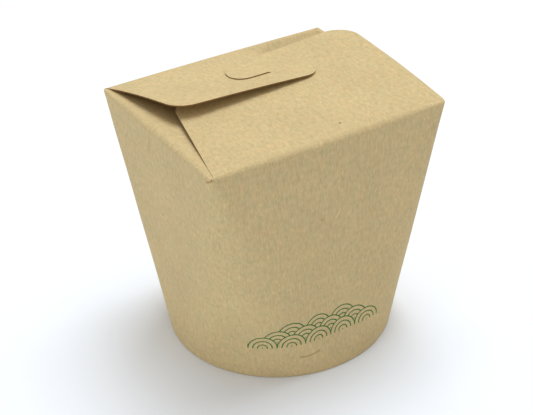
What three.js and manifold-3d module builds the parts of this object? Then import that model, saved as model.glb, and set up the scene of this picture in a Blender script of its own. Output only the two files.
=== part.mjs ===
// A shut noodle takeaway box: one folded sheet of kraft card on a round foot, with a rectangular top.
// The card's four walls are one wrapped sheet, and each wall carries a flap that folds in over the top.
// Two short side flaps lie lowest. The long front and back flaps hook into each other through two slits.
// The shut box can't be seen into, so it is one solid. Units are millimetres, +Z is up, and the front
// flap's wall faces -Y. It is modelled about the centre of its round foot on the table.
import * as THREE from "three";
import { mergeVertices } from "three/addons/utils/BufferGeometryUtils.js";
import Module from "manifold-3d";

const wasm = await Module();
wasm.setup();

// Driving dimensions of the box
const RIM_LENGTH = 100.4; // fold to fold along X
const RIM_WIDTH = 85.8; // fold to fold along Y
const RIM_HEIGHT = 100; // height of the four top folds
const FOOT_RADIUS = 46;
const CARD = 0.5; // card thickness

// The wall and its folds
const CORNER_RADIUS = 1; // upright corner, measured at the rim
const FOLD_RADIUS = { back: 1, left: 3, front: 2.6, right: 2 }; // outside, half way along each side
const FOLD_RADIUS_AT_CORNER = 1;
const FOLD_FULLNESS = 0.6; // below 1, a fold swells fast from its ends and keeps its width in between
const FOOT_RIM = 3 * CARD; // wall, base flange and hem, pressed together
const FOOT_RECESS = 5; // how far up the base disc sits
const CORNER_STEPS = 12;
const SIDE_STEPS = 10;
const FOLD_STEPS = 5;

// The side flaps slope down into the box, under the long flaps
const SIDE_FLAP_DEPTH = 5;
const SIDE_FLAP_REACH = 26;
const LIP = 0.6; // level card left standing behind the front and back folds

// The hook: where the slits of the two long flaps meet, and the free edges either side of it
const LOCK = new THREE.Vector2(8.7, 12.7);
const SLIT = 0.4;
const FRONT_FLAP_EDGE = 30; // y of the front flap's free edge
const BACK_FLAP_EDGE = -0.5; // y of the back flap's free edge
const TONGUE_TIP = -7; // x where the front flap's tongue ends
const FINGER_TIP = 24.5; // x where the back flap's finger ends
const CLIMB = 8; // distance past the lock over which one flap climbs onto the other
const PRESSED = 0.1; // how deep a flap is pressed into the one that it rests on

// Each long flap in plan: the ends of its fold along X, and how far its side edges lean for each
// millimetre of depth. The front flap's right side leans outward, over the wall.
const FRONT_FLAP = { left: -47.7, right: 50.7, leftLean: 0.21, rightLean: 0.0465 };
const BACK_FLAP = { left: -47.8, right: 46.6, leftLean: 0.215, rightLean: -0.235 };
const FRONT_FLAP_CORNERS = { left: 8, right: 12.1 }; // radii
const BACK_FLAP_CORNERS = { left: 10.3, right: 8 };
const ROOT_STEP = 0.06; // a long flap's face stands this far over the level card at its fold
const ROOT_SUNK = 1; // and runs on this far into the fold, going down
const ROOT_SLOPE = 0.7;
const FLAP_STEPS = { along: 21, deep: 8, corner: 8 };
const SHEET_REACH = 5; // how far a flap's sheet runs past the box before it is cut to its outline

// The solid middle of the top, under the long flaps
const FILL_DROP = 0.3 * CARD; // it stops this far below the faces of the long flaps
const FILL_GAP = 1; // and this far short of the side flaps' slopes

// Tolerances
const WELD = 1e-4; // points closer than this are one point
const CUT_PAST = 2; // how far a cut runs past the face that it opens

const halfLength = RIM_LENGTH / 2;
const halfWidth = RIM_WIDTH / 2;
const frontRoot = -halfWidth + FOLD_RADIUS.front + LIP / 2; // y where each long flap leaves its fold
const backRoot = halfWidth - FOLD_RADIUS.back - LIP / 2;

// A quadratic through three heights at three places along X.
function heightsAlong(places, heights) {
  const [x0, x1, x2] = places;
  const [h0, h1, h2] = heights;
  return (x) =>
    (h0 * (x - x1) * (x - x2)) / ((x0 - x1) * (x0 - x2)) +
    (h1 * (x - x0) * (x - x2)) / ((x1 - x0) * (x1 - x2)) +
    (h2 * (x - x0) * (x - x1)) / ((x2 - x0) * (x2 - x1));
}

// How far each long flap stands above the rim: at its free edge, and as a belly half way in.
const FRONT_PLACES = [-38, 9, halfLength];
const frontEdgeLift = heightsAlong(FRONT_PLACES, [0.4, 1.6, 4.5]);
const frontBelly = heightsAlong(FRONT_PLACES, [0.45, 1.1, 1.05]);
const BACK_PLACES = [-38, -8, 46];
const backEdgeLift = heightsAlong(BACK_PLACES, [6.1, 5, -1]);
const backBelly = heightsAlong(BACK_PLACES, [0.5, -0.5, -1]);

// The height of a flap's face, a distance in from its root, for a flap of that whole depth.
function flapHeight(distance, depth, lift, belly) {
  if (distance < 0) return RIM_HEIGHT + ROOT_STEP + ROOT_SLOPE * distance;
  const share = distance / depth;
  return RIM_HEIGHT + ROOT_STEP + lift * share + belly * 4 * share * (1 - share);
}

const frontFlapHeight = (x, y) =>
  flapHeight(y - frontRoot, FRONT_FLAP_EDGE - frontRoot, frontEdgeLift(x), frontBelly(x));

const backFlapHeight = (x, y) =>
  flapHeight(backRoot - y, backRoot - BACK_FLAP_EDGE, backEdgeLift(x), backBelly(x));

// Where the two long flaps hook, each one's free end rises over the other and rests on it.
function frontSheet(x, y) {
  if (y < LOCK.y) return frontFlapHeight(x, y);
  const onBackFlap = THREE.MathUtils.smoothstep(LOCK.x - x, 0, CLIMB);
  const resting = backFlapHeight(x, y) + CARD - PRESSED;
  return THREE.MathUtils.lerp(frontFlapHeight(x, y), resting, onBackFlap);
}

function backSheet(x, y) {
  if (y > LOCK.y) return backFlapHeight(x, y);
  const onFrontFlap = THREE.MathUtils.smoothstep(x - LOCK.x, 0, CLIMB);
  const resting = frontFlapHeight(x, y) + CARD - PRESSED;
  return THREE.MathUtils.lerp(backFlapHeight(x, y), resting, onFrontFlap);
}

// A closed geometry as a manifold-3d solid.
function solidOf(geometry) {
  const bare = geometry.index ? geometry.toNonIndexed() : geometry.clone();
  for (const name of Object.keys(bare.attributes)) {
    if (name !== "position") bare.deleteAttribute(name);
  }
  const merged = mergeVertices(bare, WELD);
  const corners = merged.index.array;
  const kept = [];
  for (let i = 0; i < corners.length; i += 3) {
    const [a, b, c] = corners.slice(i, i + 3);
    if (a !== b && b !== c && c !== a) kept.push(a, b, c);
  }
  return new wasm.Manifold(
    new wasm.Mesh({
      numProp: 3,
      vertProperties: merged.attributes.position.array,
      triVerts: new Uint32Array(kept),
    }),
  );
}

function geometryOf(solid) {
  const mesh = solid.getMesh();
  const geometry = new THREE.BufferGeometry();
  const points = new THREE.BufferAttribute(mesh.vertProperties, mesh.numProp);
  geometry.setAttribute("position", points);
  geometry.setIndex(new THREE.BufferAttribute(mesh.triVerts, 1));
  return geometry;
}

// Skins a stack of rings, all with the same number of points, and closes both ends with fans.
function loft(rings) {
  const count = rings[0].length;
  const index = [];
  for (let level = 0; level < rings.length - 1; level += 1) {
    for (let i = 0; i < count; i += 1) {
      const a = level * count + i;
      const b = level * count + ((i + 1) % count);
      index.push(a, b, b + count, a, b + count, a + count);
    }
  }
  const top = (rings.length - 1) * count;
  for (let i = 1; i < count - 1; i += 1) {
    index.push(0, i + 1, i);
    index.push(top, top + i, top + i + 1);
  }
  const geometry = new THREE.BufferGeometry().setFromPoints(rings.flat());
  geometry.setIndex(index);
  return geometry;
}

// One level of the wall. share runs from 0 at the round foot to 1 at the rim, and the section between is
// a rectangle with round corners. roll is the angle turned over the fold, which draws the section in.
function wallRing(share, roll) {
  const ring = [];
  const round = THREE.MathUtils.lerp(FOOT_RADIUS, CORNER_RADIUS, share);
  const half = new THREE.Vector2(halfLength, halfWidth).subScalar(CORNER_RADIUS);
  half.multiplyScalar(share);
  const place = (centre, angle, foldRadius, shrink) => {
    const drawnIn = foldRadius * (1 - Math.cos(roll));
    const drop = roll > 0 ? foldRadius * (1 - Math.sin(roll)) : 0;
    const x = centre.x - shrink.x * drawnIn + Math.cos(angle) * round;
    const y = centre.y - shrink.y * drawnIn + Math.sin(angle) * round;
    ring.push(new THREE.Vector3(x, y, share * RIM_HEIGHT - drop));
  };
  const { back, left, front, right } = FOLD_RADIUS;
  [back, left, front, right].forEach((sideRadius, quarter) => {
    const start = (quarter * Math.PI) / 2;
    const end = start + Math.PI / 2;
    const corner = new THREE.Vector2(quarter % 3 === 0 ? 1 : -1, quarter < 2 ? 1 : -1);
    const centre = half.clone().multiply(corner);
    for (let i = 0; i <= CORNER_STEPS; i += 1) {
      const angle = THREE.MathUtils.lerp(start, end, i / CORNER_STEPS);
      place(centre, angle, FOLD_RADIUS_AT_CORNER, corner);
    }
    // The straight side that follows this corner. Its fold is softest half way along.
    const next = centre.clone().rotateAround(new THREE.Vector2(), Math.PI / 2);
    next.set(Math.sign(next.x) * half.x, Math.sign(next.y) * half.y);
    const outward = new THREE.Vector2(Math.cos(end), Math.sin(end)).round();
    for (let i = 1; i < SIDE_STEPS; i += 1) {
      const softness = Math.sin((Math.PI * i) / SIDE_STEPS) ** FOLD_FULLNESS;
      const radius = THREE.MathUtils.lerp(FOLD_RADIUS_AT_CORNER, sideRadius, softness);
      place(centre.clone().lerp(next, i / SIDE_STEPS), end, radius, outward);
    }
  });
  return ring;
}

// The wrapped wall with its rounded top folds, filled solid.
function wallSolid() {
  const rings = [wallRing(0, 0), wallRing(1 - FOLD_RADIUS.left / RIM_HEIGHT, 0)];
  for (let i = 1; i <= FOLD_STEPS; i += 1) {
    rings.push(wallRing(1, ((Math.PI / 2) * i) / FOLD_STEPS));
  }
  return solidOf(loft(rings));
}

// The hollow over the side flaps: a trough across the top, from the left fold to the right one.
function troughSolid() {
  const left = -halfLength + FOLD_RADIUS.left;
  const right = halfLength - FOLD_RADIUS.right;
  const floor = RIM_HEIGHT - SIDE_FLAP_DEPTH;
  const section = new THREE.Shape([
    new THREE.Vector2(left, RIM_HEIGHT),
    new THREE.Vector2(left + SIDE_FLAP_REACH, floor),
    new THREE.Vector2(right - SIDE_FLAP_REACH, floor),
    new THREE.Vector2(right, RIM_HEIGHT),
    new THREE.Vector2(right, RIM_HEIGHT + CUT_PAST),
    new THREE.Vector2(left, RIM_HEIGHT + CUT_PAST),
  ]);
  const from = frontRoot + LIP / 2;
  const to = backRoot - LIP / 2;
  const trough = new THREE.ExtrudeGeometry(section, { depth: to - from, bevelEnabled: false });
  trough.rotateX(Math.PI / 2);
  trough.translate(0, to, 0);
  return solidOf(trough);
}

// The shallow hollow under the box, inside the foot's rim.
function footRecess() {
  const radius = FOOT_RADIUS - FOOT_RIM;
  const sides = 4 * CORNER_STEPS;
  const recess = new THREE.CylinderGeometry(radius, radius, 2 * FOOT_RECESS, sides);
  recess.rotateX(Math.PI / 2);
  return solidOf(recess);
}

// A closed outline of [x, y, radius] corners, each rounded by an arc that touches both its edges.
function roundedOutline(corners) {
  const shape = new THREE.Shape();
  corners.forEach(([x, y, radius], i) => {
    const here = new THREE.Vector2(x, y);
    const before = corners[(i + corners.length - 1) % corners.length];
    const after = corners[(i + 1) % corners.length];
    const back = new THREE.Vector2(before[0] - x, before[1] - y).normalize();
    const on = new THREE.Vector2(after[0] - x, after[1] - y).normalize();
    const halfAngle = Math.acos(THREE.MathUtils.clamp(back.dot(on), -1, 1)) / 2;
    const leg = radius / Math.tan(halfAngle);
    const enter = here.clone().addScaledVector(back, leg);
    const leave = here.clone().addScaledVector(on, leg);
    if (i === 0) shape.moveTo(enter.x, enter.y);
    else if (shape.currentPoint.distanceTo(enter) > WELD) shape.lineTo(enter.x, enter.y);
    if (radius === 0) return;
    const middle = back.clone().add(on).normalize();
    const centre = here.clone().addScaledVector(middle, radius / Math.sin(halfAngle));
    const from = Math.atan2(enter.y - centre.y, enter.x - centre.x);
    const to = Math.atan2(leave.y - centre.y, leave.x - centre.x);
    shape.absarc(centre.x, centre.y, radius, from, to, back.cross(on) > 0);
  });
  shape.closePath();
  return shape;
}

// Even steps from one value to another, both ends included.
function steps(from, to, count) {
  return Array.from({ length: count + 1 }, (_, i) => THREE.MathUtils.lerp(from, to, i / count));
}

// A sheet over the whole top, with its upper face at height(x, y). The slit is one band of its rows, so
// that the card can stand at two heights either side of it.
function sheetSolid(height, thickness) {
  const { along, deep } = FLAP_STEPS;
  const xs = steps(-halfLength - SHEET_REACH, halfLength + SHEET_REACH, along);
  const ys = [
    frontRoot - 2 * ROOT_SUNK,
    ...steps(frontRoot, LOCK.y - SLIT / 2, deep),
    ...steps(LOCK.y + SLIT / 2, backRoot, deep),
    backRoot + 2 * ROOT_SUNK,
  ];
  const points = [];
  for (const under of [0, thickness]) {
    for (const y of ys) {
      for (const x of xs) points.push(new THREE.Vector3(x, y, height(x, y) - under));
    }
  }
  const row = xs.length;
  const layer = row * ys.length;
  const index = [];
  const quad = (a, b, c, d) => index.push(a, b, c, a, c, d);
  for (let j = 0; j < ys.length - 1; j += 1) {
    for (let i = 0; i < along; i += 1) {
      const a = j * row + i;
      quad(a, a + 1, a + 1 + row, a + row);
      const u = a + layer;
      quad(u, u + row, u + row + 1, u + 1);
    }
  }
  for (let i = 0; i < along; i += 1) {
    const far = layer - row + i;
    quad(i, i + layer, i + 1 + layer, i + 1);
    quad(far, far + 1, far + 1 + layer, far + layer);
  }
  for (let j = 0; j < ys.length - 1; j += 1) {
    const left = j * row;
    const right = left + along;
    quad(left, left + row, left + row + layer, left + layer);
    quad(right, right + layer, right + row + layer, right + row);
  }
  const geometry = new THREE.BufferGeometry().setFromPoints(points);
  geometry.setIndex(index);
  return solidOf(geometry);
}

// Cuts a sheet to an outline drawn in plan.
function cutSheet(outline, height, thickness = CARD) {
  const plan = new THREE.ExtrudeGeometry(outline, {
    depth: 2 * RIM_HEIGHT,
    bevelEnabled: false,
    curveSegments: FLAP_STEPS.corner,
  });
  return sheetSolid(height, thickness).intersect(solidOf(plan));
}

// The front flap: cut back to the slit left of the lock, with a tongue beyond it over the back flap.
function frontFlap() {
  const { left, right, leftLean, rightLean } = FRONT_FLAP;
  const beforeSlit = LOCK.y - SLIT / 2;
  const pastSlit = LOCK.y + SLIT / 2;
  const leftEnd = left + leftLean * (beforeSlit - frontRoot);
  const rightEnd = right + rightLean * (FRONT_FLAP_EDGE - frontRoot);
  const tipRadius = (FRONT_FLAP_EDGE - pastSlit) / 2;
  const outline = roundedOutline([
    [left, frontRoot - ROOT_SUNK, 0],
    [right, frontRoot - ROOT_SUNK, 0],
    [rightEnd, FRONT_FLAP_EDGE, FRONT_FLAP_CORNERS.right],
    [TONGUE_TIP, FRONT_FLAP_EDGE, tipRadius],
    [TONGUE_TIP, pastSlit, tipRadius],
    [LOCK.x, pastSlit, 0],
    [LOCK.x, beforeSlit, 0],
    [leftEnd, beforeSlit, FRONT_FLAP_CORNERS.left],
  ]);
  return cutSheet(outline, frontSheet);
}

// The back flap: cut back to the slit right of the lock, with a finger beyond it over the front flap.
function backFlap() {
  const { left, right, leftLean, rightLean } = BACK_FLAP;
  const beforeSlit = LOCK.y + SLIT / 2;
  const pastSlit = LOCK.y - SLIT / 2;
  const leftEnd = left + leftLean * (backRoot - BACK_FLAP_EDGE);
  const rightEnd = right + rightLean * (backRoot - beforeSlit);
  const tipRadius = (pastSlit - BACK_FLAP_EDGE) / 2;
  const outline = roundedOutline([
    [left, backRoot + ROOT_SUNK, 0],
    [leftEnd, BACK_FLAP_EDGE, BACK_FLAP_CORNERS.left],
    [FINGER_TIP, BACK_FLAP_EDGE, tipRadius],
    [FINGER_TIP, pastSlit, tipRadius],
    [LOCK.x, pastSlit, 0],
    [LOCK.x, beforeSlit, 0],
    [rightEnd, beforeSlit, BACK_FLAP_CORNERS.right],
    [right, backRoot + ROOT_SUNK, 0],
  ]);
  return cutSheet(outline, backSheet);
}

// The middle of the shut top can't be seen into, so it is solid up to the lower of the two long flaps.
function middleFill() {
  const side = halfLength - FOLD_RADIUS.left - SIDE_FLAP_REACH - FILL_GAP;
  const outline = roundedOutline([
    [-side, frontRoot - ROOT_SUNK, 0],
    [side, frontRoot - ROOT_SUNK, 0],
    [side, backRoot + ROOT_SUNK, 0],
    [-side, backRoot + ROOT_SUNK, 0],
  ]);
  const inTheFlaps = (x, y) => Math.min(frontFlapHeight(x, y), backFlapHeight(x, y)) - FILL_DROP;
  return cutSheet(outline, inTheFlaps, 2 * SIDE_FLAP_DEPTH);
}

const carton = wallSolid()
  .subtract(troughSolid())
  .subtract(footRecess())
  .add(middleFill())
  .add(frontFlap())
  .add(backFlap());

const kraftCard = new THREE.MeshStandardMaterial({
  color: new THREE.Color("#c8b383"),
  roughness: 0.85,
  metalness: 0,
});

// The front flap overhangs the right wall, so the origin moves to under the middle of the overall length.
const cartonGeometry = geometryOf(carton);
cartonGeometry.computeBoundingBox();
const { min, max } = cartonGeometry.boundingBox;
cartonGeometry.translate(-(min.x + max.x) / 2, 0, 0);

const box = new THREE.Mesh(cartonGeometry, kraftCard);
box.name = "carton";

const noodleBox = new THREE.Group();
noodleBox.add(box);

export default noodleBox;
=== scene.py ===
# %% [markdown]
# A noodle takeaway box in kraft board, shut.
# The real box is one cut sheet of board, wrapped round a shallow round base cup and glued down one
# side. The sheet's top is creased into a rectangle, and each of its four walls carries a flap. The two
# side flaps fold in first, then the long front and back flaps, which hook into each other.
# The lesson follows the maker: the wall, its flaps cut while they are flat, and the folds. Then come
# the finishes, the thickness of the board, the base cup, the table, the light and the camera.

# %% Load the frame
import math

import bmesh
import bpy
from mathutils import Matrix, Vector, noise


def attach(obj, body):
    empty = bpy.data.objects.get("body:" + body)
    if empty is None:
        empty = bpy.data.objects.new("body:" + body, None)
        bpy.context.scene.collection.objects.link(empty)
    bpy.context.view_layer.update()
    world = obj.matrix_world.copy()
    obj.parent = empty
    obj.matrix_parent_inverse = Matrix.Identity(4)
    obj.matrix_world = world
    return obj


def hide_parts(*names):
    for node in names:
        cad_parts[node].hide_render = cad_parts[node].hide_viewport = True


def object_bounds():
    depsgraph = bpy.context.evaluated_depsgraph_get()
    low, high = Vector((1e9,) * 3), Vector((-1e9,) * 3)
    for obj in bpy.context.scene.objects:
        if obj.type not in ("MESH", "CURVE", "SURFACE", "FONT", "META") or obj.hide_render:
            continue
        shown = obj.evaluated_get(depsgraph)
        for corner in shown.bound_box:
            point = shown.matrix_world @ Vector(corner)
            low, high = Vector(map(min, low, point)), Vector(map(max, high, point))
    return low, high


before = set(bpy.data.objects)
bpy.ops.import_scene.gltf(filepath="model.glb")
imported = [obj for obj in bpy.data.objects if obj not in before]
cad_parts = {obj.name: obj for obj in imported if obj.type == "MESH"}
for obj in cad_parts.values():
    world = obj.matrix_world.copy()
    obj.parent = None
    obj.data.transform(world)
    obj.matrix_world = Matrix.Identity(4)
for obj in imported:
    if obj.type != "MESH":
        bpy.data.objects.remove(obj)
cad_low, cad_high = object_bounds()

MM = 0.001  # the frame is in metres, and the box is worked out in millimetres
print("CAD box, mm:", [round(v / MM, 2) for v in (*cad_low, *cad_high)])

# %% [markdown]
# The box is set out from a handful of sizes: the round foot, the rectangle of its four top folds, and
# the height between them. They are the sizes of the solid in the frame. The front flap overhangs the
# right wall, so the middle of the foot is a little left of the frame's origin. The frame's left side
# gives the place: it is where the left wall ends.

# %% Sizes of the box
RIM_LENGTH, RIM_WIDTH, RIM_HEIGHT = 100.4, 85.8, 100.0
FOOT_RADIUS = 46.0
CORNER_RADIUS = 1.0  # the upright corners at the rim
CARD = 0.45  # thickness of the board
FOLD_INSET = 0.05  # how far the folds draw the left wall in at the corners

foot_x = cad_low.x / MM + RIM_LENGTH / 2 - FOLD_INSET
print("foot centre x, mm:", round(foot_x, 3))

# %% [markdown]
# Each wall has the way that it faces (out), and the radius of its top fold at its two ends (ends) and
# half way along (fold). Softly rolled folds are wider in the middle of a side than at its ends. A fold
# also pulls its wall in a little below it (hollow), and the back wall's rim bows outwards (bow). The
# side walls' folds end just under the long flaps (sink). Going round the box, the walls are left,
# front, right and back, and the sheet's two ends meet at the corner between back and left.
# From these the loop works out half the length of a wall's straight top edge (half), how far out the
# centres of its round corners are (reach), and where its flap starts (root).

# %% The four walls
WALLS = {
    "left": {"out": (-1, 0), "ends": (0.4, 0.5), "fold": 3.0, "hollow": 0.45, "bow": 0, "sink": 0.2},
    "front": {"out": (0, -1), "ends": (0.7, 0.6), "fold": 2.6, "hollow": 0.15, "bow": 0, "sink": 0},
    "right": {"out": (1, 0), "ends": (0.5, 0.6), "fold": 2.0, "hollow": 0.15, "bow": 0, "sink": 0.25},
    "back": {"out": (0, 1), "ends": (0.5, 0.6), "fold": 0.7, "hollow": 0.1, "bow": 0.7, "sink": 0},
}
LIP = 0.3  # level board between the end of a fold and the root of its flap
for wall in WALLS.values():
    out = wall["out"] = Vector(wall["out"])
    wall["along"] = Vector((-out.y, out.x))
    lies_along_x = abs(out.y) > 0.5
    wall["half"] = (RIM_LENGTH if lies_along_x else RIM_WIDTH) / 2 - CORNER_RADIUS
    wall["reach"] = (RIM_WIDTH if lies_along_x else RIM_LENGTH) / 2 - CORNER_RADIUS
    wall["root"] = wall["reach"] + CORNER_RADIUS - max(wall["fold"], *wall["ends"]) - LIP
print("flaps start, mm from the axis:", {name: round(wall["root"], 2) for name, wall in WALLS.items()})

# %% [markdown]
# A wall's section changes from a circle at the foot to a rectangle at the rim. Straight lines join the
# two on the real sheet, because board bends only one way at a time. So at any height the section is a
# rectangle with round corners, whose straight sides grow with the height while its corners tighten.
# A point is found by how far along its wall it lies: 0 in the middle, and 1 at the corner.

# %% Two helpers that go from one value to another


def lerp(a, b, share):
    return a + (b - a) * share


def smooth(share):
    """From 0 to 1, with an easy start and an easy end."""
    share = min(max(share, 0), 1)
    return share * share * (3 - 2 * share)


print("a tenth of the way along, smooth gives", round(smooth(0.1), 3))

# %% A point of the wall
HOLLOW_BELOW, HOLLOW_SPREAD = 8, 4.5  # how far under the rim a wall is drawn in most, and over what


def corner_round(share):
    return lerp(FOOT_RADIUS, CORNER_RADIUS, share)


def half_girth(wall, share):
    """Length of the section from the middle of a wall to its corner."""
    return wall["half"] * share + corner_round(share) * math.pi / 4


def wall_point(wall, t, share):
    """t runs from -1 at the corner before the wall to 1 at the one after it."""
    straight = wall["half"] * share
    radius = corner_round(share)
    length = abs(t) * half_girth(wall, share)
    turn = max(length - straight, 0) / radius
    along = min(length, straight) + radius * math.sin(turn)
    out = wall["reach"] * share + radius * math.cos(turn)
    out += middle_of(wall, t) * (wall["bow"] * share**3 - wall["hollow"] * under_fold(share))
    return wall["along"] * math.copysign(along, t) + wall["out"] * out


def middle_of(wall, t):
    """1 half way along the wall, falling to 0 at its corners."""
    end = wall["half"] / half_girth(wall, 1)
    return max(math.cos(min(abs(t) / end, 1) * math.pi / 2), 0)


def under_fold(share):
    """1 some millimetres below the rim, where a wall is drawn in, and 0 above and below."""
    return math.exp(-(((1 - share) * RIM_HEIGHT - HOLLOW_BELOW) / HOLLOW_SPREAD) ** 2)


half_way = [round(wall_point(wall, 0, 0.5).length, 1) for wall in WALLS.values()]
print("half way up, mm from the axis to the middle of each wall:", half_way)

# %% The top fold of a wall
FOLD_SOFTENS = 0.6  # the lower this is, the sooner a fold gets soft past its tight ends


def fold_radius(wall, t):
    """The fold is tight at both ends of the wall, and softest half way along."""
    end = wall["ends"][0 if t < 0 else 1]
    return lerp(end, wall["fold"], middle_of(wall, t) ** FOLD_SOFTENS)


def fold_top(wall, t):
    """Height of the fold's crest."""
    return RIM_HEIGHT - wall["sink"] * (1 - middle_of(wall, t))


left_fold = [round(fold_radius(WALLS["left"], t), 2) for t in (-1, -0.5, 0, 0.5, 1)]
print("radius of the left fold from end to end, mm:", left_fold)

# %% [markdown]
# The wall starts as a circle of points, one for each upright line of the sheet, extruded up row by row.
# Each point is then moved to its place on the wall. Lines lie close together at the corners, where the
# board bends sharply at the rim. The board turns in under the foot as a hem, which grips the base cup.
# Working from extruded rows keeps the grain of the mesh upright, as the board's own grain is.

# %% The upright lines of the wall
SIDE_LINES = 96  # straight part of the front and back walls
END_LINES = 82  # straight part of the left and right walls
CORNER_LINES = 4  # half a corner


def upright_lines(name, round_corners):
    """Places of a wall's upright lines, with or without those of its half of each corner."""
    wall = WALLS[name]
    lines = SIDE_LINES if name in ("front", "back") else END_LINES
    end = wall["half"] / half_girth(wall, 1)
    straight = [lerp(-end, end, i / lines) for i in range(lines + 1)]
    if not round_corners:
        return straight
    before = [lerp(-1, -end, i / CORNER_LINES) for i in range(CORNER_LINES)]
    return before + straight + [-t for t in reversed(before)]


columns = []
for name in WALLS:
    columns += [(name, t) for t in upright_lines(name, True)[1:]]
print("upright lines:", len(columns))

# %% Where a point of the wall and its hem goes
WALL_ROWS = 52
HEM_RADIUS = 0.75
HEM_HEIGHT = 4.9
HEM_ROWS = 8
HEM_UPRIGHT_ROWS = 2  # those of them that stand inside the foot, past the curl
BULGE, BULGE_SIZE = 0.22, 30  # unevenness of the wall, and the distance between its swells
HELD_FOOT, HELD_RIM = 1 / 4, 1 / 8  # shares of the height over which foot and rim keep it even


def hem_point(wall, t, turned):
    """The hem curls in under the foot and up inside it, as turned goes from 0 to 1."""
    curl = HEM_ROWS - HEM_UPRIGHT_ROWS
    angle = min(turned * HEM_ROWS / curl, 1) * math.pi
    inward = HEM_RADIUS * (1 - math.cos(angle))
    height = HEM_RADIUS * (1 - math.sin(angle))
    height = lerp(height, HEM_HEIGHT, max(turned * HEM_ROWS - curl, 0) / HEM_UPRIGHT_ROWS)
    place = wall_point(wall, t, 0) * (1 - inward / FOOT_RADIUS)
    return (*place, height)


def place_on_wall(column, row):
    """Rows below 0 are the hem. The others run from the foot to the start of the top fold."""
    name, t = columns[column]
    wall = WALLS[name]
    if row < 0:
        return hem_point(wall, t, -row / HEM_ROWS)
    top = (fold_top(wall, t) - fold_radius(wall, t)) / RIM_HEIGHT
    share = lerp(HEM_RADIUS / RIM_HEIGHT, top, row / WALL_ROWS)
    place = wall_point(wall, t, share)
    free = smooth(share / HELD_FOOT) * smooth((1 - share) / HELD_RIM)
    height = share * RIM_HEIGHT
    swell = noise.noise(Vector((*place, height)) / BULGE_SIZE) * BULGE * free
    return (*(place * (1 + swell / place.length)), height)


print("first line's top row, mm:", [round(v, 2) for v in place_on_wall(0, WALL_ROWS)])

# %% [markdown]
# The finishes follow the sheet as it lay flat, so every point also has a place on a map of the flat
# sheet. The map is measured along the rim from the middle of the front wall, and up the sheet.

# %% Distances round the flat sheet
girth_of = {name: 2 * half_girth(wall, 1) for name, wall in WALLS.items()}


def middle_of_wall(name):
    """Distance along the rim from where the sheet begins to the middle of a wall."""
    earlier = list(WALLS)[: list(WALLS).index(name)]
    return sum(girth_of[other] for other in earlier) + girth_of[name] / 2


def girth_so_far(column):
    """Distance along the rim from the middle of the front wall. Past the last line, it goes on."""
    name, t = columns[column % len(columns)]
    lap = column // len(columns) * sum(girth_of.values())
    return middle_of_wall(name) - middle_of_wall("front") + t * girth_of[name] / 2 + lap


print("round the rim, mm:", round(sum(girth_of.values()), 1))

# %% Extrude the wall row by row
wall_sheet = bmesh.new()
bmesh.ops.create_circle(wall_sheet, segments=len(columns), radius=FOOT_RADIUS)
column_of = wall_sheet.verts.layers.int.new("column")
row_of = wall_sheet.verts.layers.int.new("row")
for v in wall_sheet.verts:
    angle = math.atan2(v.co.y, v.co.x)
    v[column_of] = round(angle / (2 * math.pi) * len(columns)) % len(columns)
    v[row_of] = -HEM_ROWS
for row in range(1 - HEM_ROWS, WALL_ROWS + 1):
    rim = [e for e in wall_sheet.edges if all(v[row_of] == row - 1 for v in e.verts)]
    grown = bmesh.ops.extrude_edge_only(wall_sheet, edges=rim)["geom"]
    for v in grown:
        if isinstance(v, bmesh.types.BMVert):
            v[row_of] = row
for v in wall_sheet.verts:
    v.co = place_on_wall(v[column_of], v[row_of])
print("wall:", len(wall_sheet.verts), "points in", HEM_ROWS + WALL_ROWS + 1, "rows")

# %% Give the wall its map, and turn its faces outwards
sheet_map = wall_sheet.loops.layers.uv.new("sheet")
for face in wall_sheet.faces:
    numbers = [loop.vert[column_of] for loop in face.loops]
    crosses = max(numbers) - min(numbers) > 1
    for loop, number in zip(face.loops, numbers):
        lapped = number + len(columns) if crosses and number == 0 else number
        height = loop.vert.co.z if loop.vert[row_of] >= 0 else -loop.vert.co.z
        loop[sheet_map].uv = (girth_so_far(lapped) * MM, height * MM)
sample = next(f for f in wall_sheet.faces if f.calc_center_median().z > RIM_HEIGHT / 2)
if sample.normal.dot(Vector((*sample.calc_center_median().xy, 0))) < 0:
    bmesh.ops.reverse_faces(wall_sheet, faces=wall_sheet.faces)
wall_mesh = bpy.data.meshes.new("wall_sheet")
wall_sheet.to_mesh(wall_mesh)
wall_sheet.free()
print("wall:", len(columns), "lines,", len(wall_mesh.polygons), "faces")

# %% [markdown]
# The two long flaps hold the box shut. Each has a slit half way along its depth: the front flap's slit
# runs in from the left and the back flap's from the right, and the two slits slide into each other.
# So left of the lock a tongue of the front flap lies over the back flap, and right of the lock a finger
# of the back flap lies over the front flap. Pushed together, the flaps bow up in the middle.
# The height of each flap is a low curve from its root to its free edge. It is given at three places
# along the box, by how far the free edge stands above the rim (lift) and how far the board between
# bows up from a straight line (belly).

# %% Sizes of the long flaps
LOCK = Vector((8.7, 12.7))  # where the two slits meet, from the middle of the foot
FRONT_EDGE_Y, BACK_EDGE_Y = 29.7, -0.5  # the free edges
TONGUE_TIP_X, FINGER_TIP_X = -7.8, 23.4
FLAPS = {
    "front": {
        "edge": FRONT_EDGE_Y,
        "places": (-38, 9, 50.2),
        "lift": (0.4, 1.6, 4.4),
        "belly": (0.45, 1.1, 1.05),
    },
    "back": {
        "edge": BACK_EDGE_Y,
        "places": (-38, -8, 20),
        "lift": (6.1, 5.0, 3.4),
        "belly": (0.5, -0.5, -0.95),
    },
}
print("slits meet at, mm:", [round(v, 2) for v in LOCK])

# %% Height of a flap that touches nothing


def through(places, heights, x):
    """The parabola through three heights at three places."""
    a, b, c = places
    low, middle, high = heights
    return (
        low * (x - b) * (x - c) / ((a - b) * (a - c))
        + middle * (x - a) * (x - c) / ((b - a) * (b - c))
        + high * (x - a) * (x - b) / ((c - a) * (c - b))
    )


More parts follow.
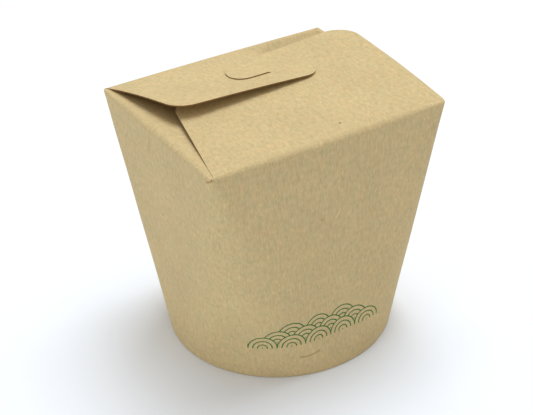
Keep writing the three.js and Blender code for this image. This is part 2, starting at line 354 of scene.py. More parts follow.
def sheet_height(name, y, lift, belly):
    root = WALLS[name]["out"].y * WALLS[name]["root"]
    share = (y - root) / (FLAPS[name]["edge"] - root)
    return RIM_HEIGHT + lift * share + belly * 4 * share * (1 - share)


def own_height(name, x, y):
    """Height of a long flap where it touches nothing."""
    flap = FLAPS[name]
    lift = through(flap["places"], flap["lift"], x)
    belly = through(flap["places"], flap["belly"], x)
    return sheet_height(name, y, lift, belly)


print("flaps at x 0, y 5, mm up:", [round(own_height(name, 0, 5), 2) for name in FLAPS])

# %% [markdown]
# Where the flaps cross, one lies on the other. The tongue climbs onto the back flap just past the lock,
# and the finger onto the front flap. Right of the lock, the rest of the back flap slopes down from its
# fold, pressed into the box by the front flap. Each change is eased over some millimetres, because
# board bends but doesn't step.

# %% Height of a flap where the two touch
ON_TOP = CARD + 0.05  # one flap lying on the other
CLIMB = 1.6  # distance past the lock over which the tongue climbs onto the back flap
RISE = 4.0  # the same for the finger, and for the back flap as it dips under the front one
SLIP = 18.0  # distance past the lock over which the back flap slips under the front one
COVER = 1.5  # distance past the front flap's free edge over which the back flap is let up again
EASING = 0.3  # how softly two flaps begin to touch
UNDER_LIFT, UNDER_BELLY = -12.0, -4.5  # the back flap right of the lock, pressed down into the box


def push(depth):
    """0 while two sheets are apart, then the depth by which one would be in the other."""
    return (depth + math.hypot(depth, EASING)) / 2


def front_height(x, y, past_slit):
    """Left of the lock and past its slit, the tongue lies on the back flap."""
    own = own_height("front", x, y)
    if not past_slit or x > LOCK.x:
        return own
    resting = own_height("back", x, y) + ON_TOP
    return lerp(own, resting, smooth((LOCK.x - x) / CLIMB))


def back_height(x, y, past_slit):
    """Right of the lock, the finger lies on the front flap, and the rest is under it."""
    own = own_height("back", x, y)
    past = x - LOCK.x
    if past < 0:
        return own
    front = own_height("front", x, y)
    if past_slit:
        return own + push(front + ON_TOP - own) * smooth(past / RISE)
    under = sheet_height("back", y, UNDER_LIFT, UNDER_BELLY)
    free = lerp(own, under, smooth(past / SLIP))
    covered = smooth((FRONT_EDGE_Y + COVER - y) / COVER) * smooth(past / RISE)
    return free - push(free - front + ON_TOP) * covered


flap_height = {"front": front_height, "back": back_height}
tongue = [round(flap_height[name](0, 20, name == "front"), 2) for name in FLAPS]
print("tongue and the back flap under it, mm up:", tongue)

# %% [markdown]
# Each flap is cut while it is flat, the way the real blank is die-cut: a grid, trimmed with straight
# cuts. A round corner is a run of short cuts, each touching the same arc. The slit is one more cut,
# whose edges are split, so that its two sides can stand at different heights. The flat flap carries on
# past its root as the rows that will be rolled over the fold.

# %% A flat grid of board
FOLD_ROWS = 6
LIP_ROWS = 2
FLARE_AT_FOLD = 0.4  # share of a grid's widening that it has as soon as it is past the fold


def grid_in_plan(name, depth, flare=0, round_corners=False):
    """A flat grid from the wall's fold inward. Past the fold, it widens to 1 + flare times the wall."""
    wall = WALLS[name]
    places = upright_lines(name, round_corners)
    rows = FOLD_ROWS + LIP_ROWS + math.ceil(depth)
    flat = bmesh.new()
    bmesh.ops.create_grid(flat, x_segments=len(places) - 1, y_segments=rows, size=0.5)
    for v in flat.verts:
        inward = (v.co.y + 0.5) * rows - FOLD_ROWS - LIP_ROWS
        inward = round(inward) if inward < 0 else inward
        past_fold = smooth((inward + LIP_ROWS) / LIP_ROWS)
        wider = 1 + flare * (FLARE_AT_FOLD * past_fold + (1 - FLARE_AT_FOLD) * max(inward, 0) / depth)
        t = places[round((v.co.x + 0.5) * (len(places) - 1))]
        along = t * half_girth(wall, 1) * wider
        place = wall["along"] * along + wall["out"] * (wall["root"] - inward)
        v.co = (*place, 0)
    return flat


print("rows of a flap before its root:", FOLD_ROWS + LIP_ROWS)

# %% Straight cuts and round corners
CORNER_CUTS = 9
CUT_TOUCH = 1e-4  # a point as near as this to a cut lies on it


def trim(flat, point, outward, part=None):
    """Cuts the board along the line through point, and throws away the side that outward faces."""
    parts = flat.faces.layers.int.get("part")
    faces = [f for f in flat.faces if part is None or f[parts] == part]
    edges = {e for f in faces for e in f.edges}
    verts = {v for f in faces for v in f.verts}
    bmesh.ops.bisect_plane(
        flat,
        geom=[*faces, *edges, *verts],
        dist=CUT_TOUCH,
        plane_co=(*point, 0),
        plane_no=(*outward, 0),
        clear_outer=True,
    )


def outward_of(start, end, inside):
    """The unit normal of an edge, facing away from a point inside the outline."""
    step = (end - start).normalized()
    normal = Vector((step.y, -step.x))
    return normal if normal.dot(start - inside) > 0 else -normal


def trim_outline(flat, corners, inside, part=None, cut_already=()):
    """Trims to an open run of (point, radius) corners, rounding those between its first and last.
    cut_already holds the numbers of the edges that need no cut."""
    points = [Vector(point) for point, _ in corners]
    for i, (start, end) in enumerate(zip(points, points[1:])):
        if i not in cut_already:
            trim(flat, start, outward_of(start, end, inside), part)
    for i in range(1, len(corners) - 1):
        radius = corners[i][1]
        before = outward_of(points[i - 1], points[i], inside)
        after = outward_of(points[i], points[i + 1], inside)
        half_turn = before.angle(after) / 2
        middle = (before + after).normalized()
        centre = points[i] - middle * radius / math.cos(half_turn)
        turn = before.angle_signed(after)
        for k in range(1, CORNER_CUTS):
            facing = Matrix.Rotation(-turn * k / CORNER_CUTS, 2) @ before
            trim(flat, centre + facing * radius, facing, part)


print("a round corner is", CORNER_CUTS - 1, "cuts between its two edges")

# %% The slit, and the points that the cuts leave
SLIT_GAP = 0.15  # half the width of the open slit
ON_LINE = 1e-3  # a point as near as this to the slit's line lies on it
WELD = 0.06  # the cuts leave some points closer together than this
LEFT_ALONE = 0.5  # but up to here past its root, a flap's points aren't merged


def open_slit(flat, name):
    """Splits the grid along the slit, and numbers the board before it 0 and past it 1."""
    past = 1 if name == "front" else -1
    for point, normal in (((0, LOCK.y, 0), (0, 1, 0)), ((LOCK.x, 0, 0), (1, 0, 0))):
        everything = [*flat.verts, *flat.edges, *flat.faces]
        bmesh.ops.bisect_plane(
            flat, geom=everything, dist=CUT_TOUCH, plane_co=point, plane_no=normal
        )
    free = [
        e
        for e in flat.edges
        if all(abs(v.co.y - LOCK.y) < ON_LINE for v in e.verts)
        and all((LOCK.x - v.co.x) * past > -ON_LINE for v in e.verts)
    ]
    bmesh.ops.split_edges(flat, edges=free)
    parts = flat.faces.layers.int.new("part")
    for face in flat.faces:
        face[parts] = 1 if (face.calc_center_median().y - LOCK.y) * past > 0 else 0
    for v in flat.verts:
        on_slit = abs(v.co.y - LOCK.y) < ON_LINE and (LOCK.x - v.co.x) * past > ON_LINE
        if on_slit and v.link_faces:
            beyond = v.link_faces[0][parts] == 1
            v.co.y += SLIT_GAP * past * (1 if beyond else -1)


def tidy_points(flat, name):
    """Merges points left almost on one another by the cuts, but none of those over the fold."""
    wall = WALLS[name]
    level = [v for v in flat.verts if v.co.xy.dot(wall["out"]) < wall["root"] - LEFT_ALONE]
    bmesh.ops.remove_doubles(flat, verts=level, dist=WELD)


print("slit, mm wide:", 2 * SLIT_GAP)

# %% Cut the front flap
SLIT_FRONT, SLIT_BACK = LOCK.y - SLIT_GAP, LOCK.y + SLIT_GAP
front_left, front_right = Vector((-48.0, -40)), Vector((50.6, -40))
front_left_lean, front_right_lean = 0.235, 0.047
FRONT_DEPTH, FRONT_FLARE = FRONT_EDGE_Y + 42, 0.12  # the uncut grid: a little larger than the flap
below = 8  # the cuts start below the root, so that they also shape the ends of the fold


def lean_point(start, lean, y):
    return (start.x + lean * (y - start.y), y)


flat_front = grid_in_plan("front", FRONT_DEPTH, flare=FRONT_FLARE, round_corners=True)
left_start = lean_point(front_left, front_left_lean, front_left.y - below)
left_end = lean_point(front_left, front_left_lean, SLIT_FRONT)
right_start = lean_point(front_right, front_right_lean, front_right.y - below)
right_end = lean_point(front_right, front_right_lean, FRONT_EDGE_Y)
for side in ((left_start, left_end), (right_start, right_end)):
    trim_outline(flat_front, [(point, 0) for point in side], inside=Vector((0, -10)))
open_slit(flat_front, "front")
trim_outline(
    flat_front,
    [(left_start, 0), (left_end, 8.0), ((LOCK.x, SLIT_FRONT), 0)],
    inside=Vector((0, -10)),
    part=0,
    cut_already=(0, 1),
)
trim_outline(
    flat_front,
    [
        ((LOCK.x, SLIT_BACK), 0),
        ((TONGUE_TIP_X, SLIT_BACK), 6.0),
        ((TONGUE_TIP_X, FRONT_EDGE_Y), 11.0),
        (right_end, 11.2),
        (right_start, 0),
    ],
    inside=Vector((20, 20)),
    part=1,
    cut_already=(0, 3),
)
tidy_points(flat_front, "front")
print("front flap:", len(flat_front.faces), "faces")

# %% Cut the back flap
back_left, back_right = Vector((-48.2, 41.6)), Vector((48.0, 41.6))
back_left_lean, back_right_lean = -0.215, 0.235
BACK_DEPTH, BACK_FLARE = 45, 0.05
flat_back = grid_in_plan("back", BACK_DEPTH, flare=BACK_FLARE, round_corners=True)
left_start = lean_point(back_left, back_left_lean, back_left.y + below)
left_end = lean_point(back_left, back_left_lean, BACK_EDGE_Y)
right_start = lean_point(back_right, back_right_lean, back_right.y + below)
right_end = lean_point(back_right, back_right_lean, SLIT_BACK)
for side in ((left_start, left_end), (right_start, right_end)):
    trim_outline(flat_back, [(point, 0) for point in side], inside=Vector((0, 30)))
open_slit(flat_back, "back")
trim_outline(
    flat_back,
    [(right_start, 0), (right_end, 8.0), ((LOCK.x, SLIT_BACK), 0)],
    inside=Vector((0, 30)),
    part=0,
    cut_already=(0, 1),
)
trim_outline(
    flat_back,
    [
        ((LOCK.x, SLIT_FRONT), 0),
        ((FINGER_TIP_X, SLIT_FRONT), 5.5),
        ((FINGER_TIP_X, BACK_EDGE_Y), 7.4),
        (left_end, 9.5),
        (left_start, 0),
    ],
    inside=Vector((0, 8)),
    part=1,
    cut_already=(0, 3),
)
tidy_points(flat_back, "back")
print("back flap:", len(flat_back.faces), "faces")

# %% [markdown]
# The side flaps are short. They fold in first and slope down into the box, so that the long flaps lie
# over them. Little of them shows, but the gap at the left side looks down onto one.

# %% Cut the side flaps
SIDE_FLAP_DEPTH = 30
SIDE_FLAP_LEAN = 0.25  # mm that each side edge comes in, for each mm of depth
SIDE_FLAP_ROUND = 9.0
SIDE_FLAP_OVER = 0.5  # how far it starts past each end of its wall's straight top edge
SIDE_FLAP_SLOPE = {"left": 0.22, "right": 0.9}  # mm down, for each mm in from the root
flat_sides = {}
for name in ("left", "right"):
    wall = WALLS[name]
    flat = grid_in_plan(name, SIDE_FLAP_DEPTH + 1, round_corners=True)
    half = wall["half"] + SIDE_FLAP_OVER
    corners = []
    for turn in (-1, 1):
        start = wall["along"] * turn * half + wall["out"] * wall["root"]
        step = -wall["out"] - wall["along"] * turn * SIDE_FLAP_LEAN
        corners.append((start - step * below, start + step * SIDE_FLAP_DEPTH))
    run = [
        (corners[0][0], 0),
        (corners[0][1], SIDE_FLAP_ROUND),
        (corners[1][1], SIDE_FLAP_ROUND),
        (corners[1][0], 0),
    ]
    trim_outline(flat, run, inside=wall["out"] * (wall["root"] - SIDE_FLAP_DEPTH / 2))
    flat_sides[name] = flat
print("side flaps:", [len(flat.faces) for flat in flat_sides.values()], "faces")

# %% [markdown]
# Now each flat flap is folded. The rows nearest the wall roll over the fold as a quarter turn, whose
# radius is the fold's own at that place, and the rest is laid at the flap's height. The first row lands
# exactly on the wall's top row, and the two are merged there, so that the light runs over the fold
# without a seam.

# %% Where a point of a folded flap goes
TONGUE_SWING = 0.12  # mm forward beside the slit, for each mm past the lock


def swung(x, y):
    """The tongue has swung a little, more towards its tip, so its slit side comes forward."""
    if x > LOCK.x:
        return y
    return y - TONGUE_SWING * (LOCK.x - x) * (FRONT_EDGE_Y - y) / (FRONT_EDGE_Y - LOCK.y)


def fold(name, x, y):
    """The place in space of a point of a flat flap."""
    wall = WALLS[name]
    flat_place = Vector((x, y))
    along = flat_place.dot(wall["along"])
    inward = wall["root"] - flat_place.dot(wall["out"])
    t = along / half_girth(wall, 1)
    if inward > 0:
        if name in FLAPS:
            past_slit = (LOCK.y - y) * wall["out"].y > 0
            if name == "front" and past_slit:
                y = swung(x, y)
            return (x, y, flap_height[name](x, y, past_slit))
        return (x, y, fold_top(wall, t) - SIDE_FLAP_SLOPE[name] * inward)
    radius = fold_radius(wall, t)
    roll = math.pi / 2 * (1 + min(inward + LIP_ROWS, 0) / FOLD_ROWS)
    height = fold_top(wall, t) - radius * (1 - math.sin(roll))
    on_wall = wall_point(wall, t, height / RIM_HEIGHT)
    drawn_in = radius * (1 - math.cos(roll))
    place = on_wall - wall["out"] * drawn_in
    root_place = wall["along"] * along + wall["out"] * wall["root"]
    place = place.lerp(root_place, max(inward + LIP_ROWS, 0) / LIP_ROWS)
    return (*place, height)


front_root = WALLS["front"]["root"]
print("middle of the front fold, mm:", [round(v, 2) for v in fold("front", 0, -front_root)])

# %% Fold a flap and keep its map


def folded(name, flat):
    """Folds a flat flap, and keeps its flat place as the sheet's own map."""
    wall = WALLS[name]
    uv = flat.loops.layers.uv.new("sheet")
    middle = middle_of_wall(name) - middle_of_wall("front")
    for face in flat.faces:
        for loop in face.loops:
            place = loop.vert.co.xy
            along = place.dot(wall["along"])
            inward = wall["root"] - place.dot(wall["out"])
            above = RIM_HEIGHT + FOLD_ROWS + LIP_ROWS + inward
            loop[uv].uv = ((middle + along) * MM, above * MM)
    for v in flat.verts:
        v.co = fold(name, v.co.x, v.co.y)
    for face in flat.faces:
        face.normal_update()
    level = [f for f in flat.faces if f.calc_center_median().z > RIM_HEIGHT - 1]
    if level[len(level) // 2].normal.z < 0:
        bmesh.ops.reverse_faces(flat, faces=flat.faces)
    mesh = bpy.data.meshes.new(name + "_flap")
    flat.to_mesh(mesh)
    flat.free()
    return mesh


flap_meshes = [folded("front", flat_front), folded("back", flat_back)]
flap_meshes += [folded(name, flat) for name, flat in flat_sides.items()]
print("folded:", [mesh.name for mesh in flap_meshes])

# %% Join the sheet
JOIN = 0.01  # rows as near as this are one row
card = bmesh.new()
for mesh in (wall_mesh, *flap_meshes):
    card.from_mesh(mesh)
    bpy.data.meshes.remove(mesh)
before = len(card.verts)
bmesh.ops.remove_doubles(card, verts=card.verts, dist=JOIN)
print("card sheet:", len(card.faces), "faces,", before - len(card.verts), "points merged")

# %% [markdown]
# The board is unbleached kraft: long wood fibres, pressed flat and left their own brown. From a hand's
# distance it is a matt tan with soft clouds and a faint upright grain, crossed by short fibres that are
# lighter or darker, and here and there a dark speck of bark. A cut edge shows the middle of the board,
# browner and rougher, and its colour is made darker still than that brown: painted shade, for the dark
# line of contact shadow along the flaps' edges. The grain follows the flat sheet, so it is drawn on the
# sheet's own map: metres round the rim, and metres up the sheet.

# %% Helpers for colours and nodes
SUMS, VECTORS = "ShaderNodeMath", "ShaderNodeVectorMath"
RANGE, MIX = "ShaderNodeMapRange", "ShaderNodeMix"


def hex_colour(text):
    """sRGB hex to the linear colour that shaders use."""
    parts = [int(text[i : i + 2], 16) / 255 for i in (1, 3, 5)]
    linear = [c / 12.92 if c <= 0.04045 else ((c + 0.055) / 1.055) ** 2.4 for c in parts]
    return (*linear, 1)


def add_node(tree, kind, settings=None, **inputs):
    """Adds a node. settings are its own properties, and inputs are values or sockets to link."""
    node = tree.nodes.new(kind)
    for name, value in (settings or {}).items():
        setattr(node, name, value)
    for name, value in inputs.items():
        key = int(name[1:]) if name[0] == "_" else name.replace("_", " ")
        socket = node.inputs[key]
        if isinstance(value, bpy.types.NodeSocket):
            tree.links.new(value, socket)
        else:
            socket.default_value = value
    return node


print("kraft tan #c6b385 in linear light:", [round(c, 3) for c in hex_colour("#c6b385")])

# %% [markdown]
# A few marks tell that this box has been handled: specks of bark, a pale fibre, a rubbed line near the
# foot and a small nick at the front left corner. A darker line under the left fold is painted shade:
# the shading of a slight pucker there, drawn as colour. Each is a pencil stroke on the sheet's map: a
# run of points in mm, a width, a colour and a strength. A stroke of one point is a speck.

# %% Marks on the board
MARKS = [
    {"run": [(7.9, 113.0)], "width": 0.75, "colour": "#4a3c28", "strength": 0.9},
    {"run": [(-7.0, 68.8)], "width": 0.65, "colour": "#7c6a48", "strength": 0.8},
    {"run": [(-0.3, 67.6), (1.7, 69.9)], "width": 0.55, "colour": "#d8c89c", "strength": 0.8},
    {
        "run": [(-23.4, 10.3), (-20.6, 10.05), (-17.8, 10.25), (-15.2, 10.7), (-12.7, 11.4)],
        "width": 0.6,
        "colour": "#8c6a3c",
        "strength": 0.6,
    },
    # painted shade: a darker line for the shading of a slight pucker under the left fold
    {"run": [(-97.3, 96.4), (-99.5, 88.0)], "width": 1.0, "colour": "#a9935f", "strength": 0.45},
    {
        "run": [(-52.4, 97.7), (-50.0, 99.0), (-49.1, 99.4)],
        "width": 0.8,
        "colour": "#a07c4a",
        "strength": 0.75,
    },
    {"run": [(31.0, 52.0)], "width": 0.6, "colour": "#8a744c", "strength": 0.6},
    {"run": [(-30.5, 44.0)], "width": 0.6, "colour": "#8a744c", "strength": 0.5},
]
print("marks:", len(MARKS))

# %% Draw the marks
STROKE_FULL, STROKE_GONE = 0.2, 0.8  # where a stroke starts to fade and where it ends, per width


def stroke(tree, place, start, end, width):
    """1 along a straight stroke of the sheet's map, fading to 0 at its sides. Sizes are in mm."""
    start, end = Vector((*start, 0)), Vector((*end, 0))
    step = end - start
    out = add_node(tree, VECTORS, {"operation": "SUBTRACT"}, _0=place, _1=start).outputs[0]
    nearest = Vector((0, 0, 0))
    if step.length > 0:
        per_step = step / step.length_squared
        reach = add_node(tree, VECTORS, {"operation": "DOT_PRODUCT"}, _0=out, _1=per_step)
        share = add_node(tree, "ShaderNodeClamp", Value=reach.outputs["Value"]).outputs[0]
        nearest = add_node(tree, VECTORS, {"operation": "SCALE"}, _0=step, Scale=share).outputs[0]
    away = add_node(tree, VECTORS, {"operation": "DISTANCE"}, _0=out, _1=nearest).outputs["Value"]
    fade = {"interpolation_type": "SMOOTHSTEP"}
    full, gone = width * STROKE_FULL, width * STROKE_GONE
    return add_node(tree, RANGE, fade, Value=away, _1=full, _2=gone, _3=1.0, _4=0.0).outputs[0]


def add_marks(tree, colour, place):
    """Draws every mark over a colour."""
    for mark in MARKS:
        run = mark["run"]
        strokes = zip(run, run[1:]) if len(run) > 1 else [(run[0], run[0])]
        ink = 0.0
        for start, end in strokes:
            part = stroke(tree, place, start, end, mark["width"])
            ink = add_node(tree, SUMS, {"operation": "MAXIMUM"}, _0=ink, _1=part).outputs[0]
        faint = add_node(tree, SUMS, {"operation": "MULTIPLY"}, _0=ink, _1=mark["strength"])
        drawn = hex_colour(mark["colour"])
        colour = add_node(
            tree, MIX, {"data_type": "RGBA"}, _0=faint.outputs[0], _6=colour, _7=drawn
        ).outputs[2]
    return colour


print("strokes:", sum(max(len(mark["run"]) - 1, 1) for mark in MARKS))

# %% [markdown]
# The print is one ink, a dark green, laid on low on the front wall. It is a generic border of
# waves: three stepped rows of scallops, each scallop a set of rings about a point on its row, and each
# row covering the feet of the row above. A row's height is measured up the wall, and its length round
# the wall at that height, where the wall is narrower than its rim.

# %% The printed border
INK = "#22682a"
WAVE_MIDDLE, WAVE_FOOT = -10.0, 17.0  # mm, round from the wall's middle and up from the table
WAVE_RADIUS = 5.6
WAVE_STEP = WAVE_RADIUS / 2  # each row's height over the one below it
WAVE_ROWS = 3
WAVE_HALF_LENGTH = 5 * WAVE_RADIUS  # the lowest row
RING_STEP = WAVE_RADIUS / 3
LINE_WIDTH = 0.5
FOOT_SHARE = half_girth(WALLS["front"], 0) / half_girth(WALLS["front"], 1)
print("border, mm long and high:", 2 * WAVE_HALF_LENGTH, WAVE_RADIUS + WAVE_STEP * (WAVE_ROWS - 1))

# %% Draw the border


def wave_border(tree, place):
    """1 on the lines of the border and 0 elsewhere, from the sheet's map in mm."""
    axes = add_node(tree, "ShaderNodeSeparateXYZ", Vector=place)
    round_rim, height = axes.outputs[0], axes.outputs[1]
    narrowing = add_node(tree, RANGE, Value=height, _1=0.0, _2=RIM_HEIGHT, _3=FOOT_SHARE, _4=1.0)
    length = add_node(tree, SUMS, {"operation": "MULTIPLY"}, _0=round_rim, _1=narrowing.outputs[0])
    along = add_node(tree, SUMS, {"operation": "SUBTRACT"}, _0=length.outputs[0], _1=WAVE_MIDDLE)
    along = along.outputs[0]
    aside = add_node(tree, SUMS, {"operation": "ABSOLUTE"}, _0=along).outputs[0]
    up = add_node(tree, SUMS, {"operation": "SUBTRACT"}, _0=height, _1=WAVE_FOOT).outputs[0]
    lines = 0.0
    for row in reversed(range(WAVE_ROWS)):
        shifted = add_node(tree, SUMS, {"operation": "ADD"}, _0=along, _1=WAVE_RADIUS * row)
        back_and_forth = {"operation": "PINGPONG"}
        across = add_node(tree, SUMS, back_and_forth, _0=shifted.outputs[0], _1=WAVE_RADIUS)
        over = add_node(tree, SUMS, {"operation": "SUBTRACT"}, _0=up, _1=WAVE_STEP * row).outputs[0]
        offset = add_node(tree, "ShaderNodeCombineXYZ", X=across.outputs[0], Y=over)
        from_point = add_node(tree, VECTORS, {"operation": "LENGTH"}, _0=offset.outputs[0])
        from_point = from_point.outputs["Value"]
        limits = (
            ("LESS_THAN", from_point, WAVE_RADIUS + LINE_WIDTH / 2),
            ("GREATER_THAN", over, -LINE_WIDTH / 2),
            ("LESS_THAN", aside, WAVE_HALF_LENGTH - WAVE_RADIUS * row + LINE_WIDTH / 2),
        )
        covers = 1.0
        for test, value, limit in limits:
            kept = add_node(tree, SUMS, {"operation": test}, _0=value, _1=limit).outputs[0]
            covers = add_node(tree, SUMS, {"operation": "MULTIPLY"}, _0=covers, _1=kept).outputs[0]
        ring = add_node(tree, SUMS, back_and_forth, _0=from_point, _1=RING_STEP / 2).outputs[0]
        line = add_node(tree, SUMS, {"operation": "LESS_THAN"}, _0=ring, _1=LINE_WIDTH / 2)
        lines = add_node(tree, MIX, _0=covers, _2=lines, _3=line.outputs[0]).outputs[0]
    return lines


print("scallops in the lowest row:", round(2 * WAVE_HALF_LENGTH / (2 * WAVE_RADIUS)))

# %% [markdown]
# One function makes both finishes of the board. The printed face takes the marks and the border, and
# the cut edge is a plain darker brown, partly its own colour and partly painted shade.

# %% Sizes and tones of the board's pattern
FIBRES = (
    # length and width in mm, way round on the sheet in degrees, where a fibre begins, its tone.
    # Real fibres are a tenth as wide. They are drawn broader, so that they show.
    (2.6, 0.34, 35, 0.64, 1.10),
    (2.6, 0.34, -40, 0.64, 1.08),
    (3.4, 0.40, 80, 0.65, 0.90),
    (2.4, 0.34, -10, 0.66, 0.89),
)
FIBRE_EDGE = 0.06  # how soft its outline is
HUE_SIZE, HUE_RANGE = 5, (0.35, 0.65)  # patches a little greener or redder, mm
CLOUD_SIZE, CLOUD_TONES = 22, (0.965, 1.035)  # soft clouds, darker and lighter, mm
MOTTLE_SIZE, MOTTLE_TONES = 1.9, (0.93, 1.07)  # the pressed pulp, drawn coarser than it is, to show
GRAIN_SIZE, GRAIN_TONES = 0.8, (0.955, 1.045)  # fibres that lie along the sheet's height
GRAIN_STRETCH = (1, 9)  # across the grain and along it
PATTERN_RANGE = (0.3, 0.7)  # most of a noise's values lie between these
SPECK_SPACING, SPECK_RADIUS, SPECK_TONE = 7.5, (0.02, 0.05), 0.8  # mm, shares of it, how dark
INK_WEAR, INK_COVER = (0.3, 0.5), (0.72, 0.97)  # ink lies thinner where the mottle is low
BOARD_SHEEN = 0.3  # specular level: paper reflects less than a smooth surface of its IOR
RELIEF_STRENGTH, RELIEF_DEPTH = 0.35, 0.05  # a faint tooth, mm
print("kinds of fibre:", len(FIBRES), "with a speck every", SPECK_SPACING, "mm")

# %% Kraft board


def toned(tree, colour, fac, between, tones):
    """Multiplies a colour by a tone that goes through tones as fac goes through between."""
    low, high = between
    dark, light = tones
    tone = add_node(tree, RANGE, Value=fac, _1=low, _2=high, _3=dark, _4=light).outputs[0]
    multiply = {"data_type": "RGBA", "blend_type": "MULTIPLY"}
    return add_node(tree, MIX, multiply, _0=1.0, _6=colour, _7=tone).outputs[2]


def kraft_board(name, greener, redder, roughness, printed):
    """Matt tan board: soft clouds, an upright grain, fibres and specks, and a faint relief."""
    material = bpy.data.materials.new(name)
    material.use_nodes = True
    tree = material.node_tree
    shader = tree.nodes["Principled BSDF"]
    sheet = add_node(tree, "ShaderNodeUVMap", {"uv_map": "sheet"}).outputs[0]
    place = add_node(tree, VECTORS, {"operation": "SCALE"}, _0=sheet, Scale=1 / MM).outputs[0]

    def noise_fac(size, stretch=(1, 1), turn=0, detail=2.0):
        """Noise on the sheet whose spots are about size mm long, and stretched along or up."""
        angle = (0, 0, math.radians(turn))
        scale = (1 / (size * stretch[0]), 1 / (size * stretch[1]), 1)
        turned = add_node(tree, "ShaderNodeMapping", Vector=place, Rotation=angle, Scale=scale)
        spots = add_node(
            tree, "ShaderNodeTexNoise", Vector=turned.outputs[0], Scale=1.0, Detail=detail
        )
        return spots.outputs[0]

    patches = noise_fac(HUE_SIZE, detail=3.0)
    hue = add_node(tree, RANGE, Value=patches, _1=HUE_RANGE[0], _2=HUE_RANGE[1]).outputs[0]
    ends = {"_6": hex_colour(greener), "_7": hex_colour(redder)}
    colour = add_node(tree, MIX, {"data_type": "RGBA"}, _0=hue, **ends).outputs[2]
    colour = toned(tree, colour, noise_fac(CLOUD_SIZE), PATTERN_RANGE, CLOUD_TONES)
    mottle = noise_fac(MOTTLE_SIZE, detail=4.0)
    colour = toned(tree, colour, mottle, PATTERN_RANGE, MOTTLE_TONES)
    grain = noise_fac(GRAIN_SIZE, GRAIN_STRETCH)
    colour = toned(tree, colour, grain, PATTERN_RANGE, GRAIN_TONES)
    for length, width, turn, begins, tone in FIBRES:
        fibre = noise_fac(width, (1, length / width), turn, detail=0.0)
        colour = toned(tree, colour, fibre, (begins, begins + FIBRE_EDGE), (1.0, tone))
    specks = add_node(tree, "ShaderNodeTexVoronoi", Vector=place, Scale=1 / SPECK_SPACING)
    colour = toned(tree, colour, specks.outputs["Distance"], SPECK_RADIUS, (SPECK_TONE, 1.0))
    if printed:
        colour = add_marks(tree, colour, place)
        (low, high), (thin, thick) = INK_WEAR, INK_COVER
        worn = add_node(tree, RANGE, Value=mottle, _1=low, _2=high, _3=thin, _4=thick).outputs[0]
        border = wave_border(tree, place)
        ink = add_node(tree, SUMS, {"operation": "MULTIPLY"}, _0=border, _1=worn).outputs[0]
        green = hex_colour(INK)
        colour = add_node(tree, MIX, {"data_type": "RGBA"}, _0=ink, _6=colour, _7=green).outputs[2]
    tree.links.new(colour, shader.inputs["Base Color"])
    shader.inputs["Roughness"].default_value = roughness
    shader.inputs["Specular IOR Level"].default_value = BOARD_SHEEN
    relief = add_node(tree, SUMS, {"operation": "ADD"}, _0=mottle, _1=grain).outputs[0]
    depth = {"Strength": RELIEF_STRENGTH, "Distance": RELIEF_DEPTH * MM}
    bump = add_node(tree, "ShaderNodeBump", Height=relief, **depth)
    tree.links.new(bump.outputs["Normal"], shader.inputs["Normal"])
    return material


# The face is matt and tan. The cut edge is browner and duller, so the eye reads a thin, crisp sheet.
# Its brown is also darker than real: painted shade for the contact shadow along the flaps' edges.
kraft = kraft_board("kraft_board", "#c6b385", "#cbb384", 0.82, printed=True)
cut_edge_and_shade = kraft_board("kraft_board_cut_edge", "#86693f", "#8c6a42", 0.95, printed=False)
print("nodes:", {made.name: len(made.node_tree.nodes) for made in (kraft, cut_edge_and_shade)})

# %% [markdown]
# Board has thickness, and its cut edges show it. The Solidify modifier gives the sheet its back face
# and its rim, and the rim takes a second finish, because a cut edge is darker and rougher than a face;
# its colour is darker still, as painted shade.
# The result is kept as a plain mesh. Its sharp edges are marked, so that the faces shade softly while
# the cut edges stay crisp.

# %% Give the board its thickness
SHARP = math.radians(40)  # an edge that bends more than this stays crisp


def place_in_frame(bm):
    """From millimetres about the foot's centre to the frame's metres."""
    bmesh.ops.translate(bm, vec=(foot_x, 0, 0), verts=bm.verts)
    bmesh.ops.scale(bm, vec=(MM, MM, MM), verts=bm.verts)


def as_piece(bm, name, materials, thickness):
    """A thick piece on the box's body, from an open sheet whose faces point outwards."""
    mesh = bpy.data.meshes.new(name)
    bm.to_mesh(mesh)
    bm.free()
    for material in materials:
        mesh.materials.append(material)
    piece = bpy.data.objects.new(name, mesh)
    bpy.context.scene.collection.objects.link(piece)
    board = piece.modifiers.new("board", "SOLIDIFY")
    board.thickness = thickness
    board.offset = -1
    board.material_offset_rim = len(materials) - 1
    ready = piece.evaluated_get(bpy.context.evaluated_depsgraph_get())
    thick = bpy.data.meshes.new_from_object(ready)
    piece.modifiers.clear()
    piece.data = thick
    bpy.data.meshes.remove(mesh)
    thick.name = name
    edges = bmesh.new()
    edges.from_mesh(thick)
    for face in edges.faces:
        face.smooth = True
    for edge in edges.edges:
        edge.smooth = edge.calc_face_angle(0) < SHARP
    edges.to_mesh(thick)
    edges.free()
    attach(piece, "root")
    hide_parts("carton")
    print(name + ":", len(thick.polygons), "faces")


print("board, mm thick:", CARD)

# %% Make the card sheet a piece
place_in_frame(card)
as_piece(card, "card_sheet", [kraft, cut_edge_and_shade], CARD * MM)

# %% [markdown]
# Under the box, a shallow cup of the same board closes it. Its floor is a disc a few millimetres up
# inside the foot, and its skirt is gripped between the wall and the hem.

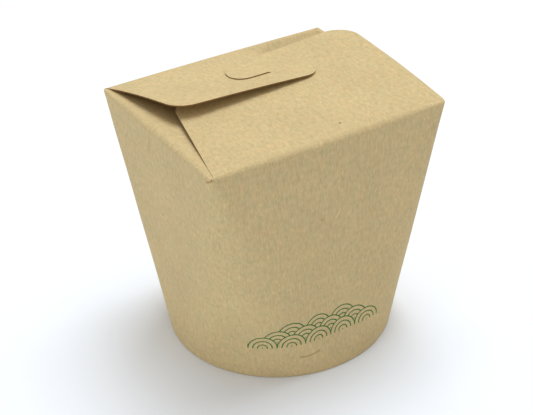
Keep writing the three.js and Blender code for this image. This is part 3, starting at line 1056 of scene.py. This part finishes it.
# %% The base cup
CUP_FLOOR = 5.0  # height of its underside
CUP_RADIUS = 45.2  # inside the wall and outside the hem
CUP_ROUND = 0.9
CUP_RINGS = (1.5, 8.0, 12.0, 12.0)  # the floor's rings of faces, from its edge inwards
cup = bmesh.new()
bmesh.ops.create_circle(cup, cap_ends=True, segments=120, radius=CUP_RADIUS)
rim = [e for e in cup.edges if e.is_boundary]
skirt = bmesh.ops.extrude_edge_only(cup, edges=rim)["geom"]
low_rim = [v for v in skirt if isinstance(v, bmesh.types.BMVert)]
bmesh.ops.translate(cup, vec=(0, 0, HEM_RADIUS - CUP_FLOOR), verts=low_rim)
bmesh.ops.bevel(
    cup, geom=rim, offset=CUP_ROUND, segments=4, profile=0.5, affect="EDGES", material=-1
)
floor_face = max(cup.faces, key=lambda f: f.calc_area())
for inset in CUP_RINGS:
    bmesh.ops.inset_region(cup, faces=[floor_face], thickness=inset)
bmesh.ops.recalc_face_normals(cup, faces=cup.faces)
if floor_face.normal.z > 0:
    bmesh.ops.reverse_faces(cup, faces=cup.faces)
bmesh.ops.translate(cup, vec=(0, 0, CUP_FLOOR), verts=cup.verts)
cup_map = cup.loops.layers.uv.new("sheet")
for face in cup.faces:
    for loop in face.loops:
        loop[cup_map].uv = loop.vert.co.xy * MM + Vector((1, 0))  # clear of the marks and the print
place_in_frame(cup)
as_piece(cup, "base_cup", [kraft, cut_edge_and_shade], CARD * MM)

# %% [markdown]
# A studio table: one large sweep of white paper, white surroundings that light it from everywhere, and
# a broad lamp overhead. A broad lamp gives the soft shadow under the foot. A weak lamp low at the left
# lifts the left wall a little. The paper is matt and a touch cool, so the tan board looks warm on it.

# %% The white paper
FLOOR_SIZE = 6.0  # metres
floor_mesh = bpy.data.meshes.new("table")
table = bmesh.new()
bmesh.ops.create_grid(table, x_segments=1, y_segments=1, size=FLOOR_SIZE / 2)
table.to_mesh(floor_mesh)
table.free()
floor = bpy.data.objects.new("table", floor_mesh)
bpy.context.scene.collection.objects.link(floor)
paper = bpy.data.materials.new("white_paper_sweep")
paper.use_nodes = True
paper_shader = paper.node_tree.nodes["Principled BSDF"]
paper_shader.inputs["Base Color"].default_value = hex_colour("#f2f7ff")
paper_shader.inputs["Roughness"].default_value = 0.9
floor_mesh.materials.append(paper)
print("table, m wide:", FLOOR_SIZE)

# %% Surroundings and lamps
SURROUNDINGS, STRENGTH = (1, 0.97, 0.93, 1), 0.61  # a touch warm
world = bpy.data.worlds.new("studio")
bpy.context.scene.world = world
world.use_nodes = True
world.node_tree.nodes["Background"].inputs["Color"].default_value = SURROUNDINGS
world.node_tree.nodes["Background"].inputs["Strength"].default_value = STRENGTH


def soft_lamp(name, place, aim, size, power, colour):
    """A square lamp, turned to face a point. Lengths are in metres and power in watts."""
    light = bpy.data.lights.new(name, "AREA")
    light.size = size
    light.energy = power
    light.color = colour
    lamp = bpy.data.objects.new(name, light)
    lamp.location = place
    lamp.rotation_euler = (Vector(aim) - Vector(place)).to_track_quat("-Z", "Y").to_euler()
    bpy.context.scene.collection.objects.link(lamp)
    print(name + ":", power, "W,", size, "m wide")


soft_lamp("overhead", (0.38, 0.26, 1.45), (0, 0, 0.05), 0.9, 14.9, (0.93, 0.965, 1))
soft_lamp("left_fill", (-0.9, -0.2, 0.13), (0, 0, 0.03), 0.35, 1.3, (0.85, 0.93, 1))
bpy.context.scene.view_settings.view_transform = "Standard"

# %% [markdown]
# The camera stands where the photograph was taken: a little left of the front, looking down on the box
# from half a metre away through a long lens.

# %% Camera
SENSOR_WIDTH, FOCAL_LENGTH = 36.0, 82.89  # mm
camera_data = bpy.data.cameras.new("camera")
camera_data.sensor_width = SENSOR_WIDTH
camera_data.lens = FOCAL_LENGTH
camera = bpy.data.objects.new("camera", camera_data)
bpy.context.scene.collection.objects.link(camera)
bpy.context.scene.camera = camera
CAMERA_PLACE = Vector((-211.778, -361.057, 307.434))  # mm from the middle of the foot
LOOKS = Vector((0.424529, 0.738358, -0.524025))
RIGHT = Vector((0.853382, -0.519680, -0.040883))
camera_place = (CAMERA_PLACE + Vector((foot_x, 0, 0))) * MM
turn = Matrix((RIGHT, RIGHT.cross(LOOKS), -LOOKS)).transposed()
camera.matrix_world = Matrix.Translation(camera_place) @ turn.to_4x4()
print("camera, mm from the foot's centre:", round(CAMERA_PLACE.length))
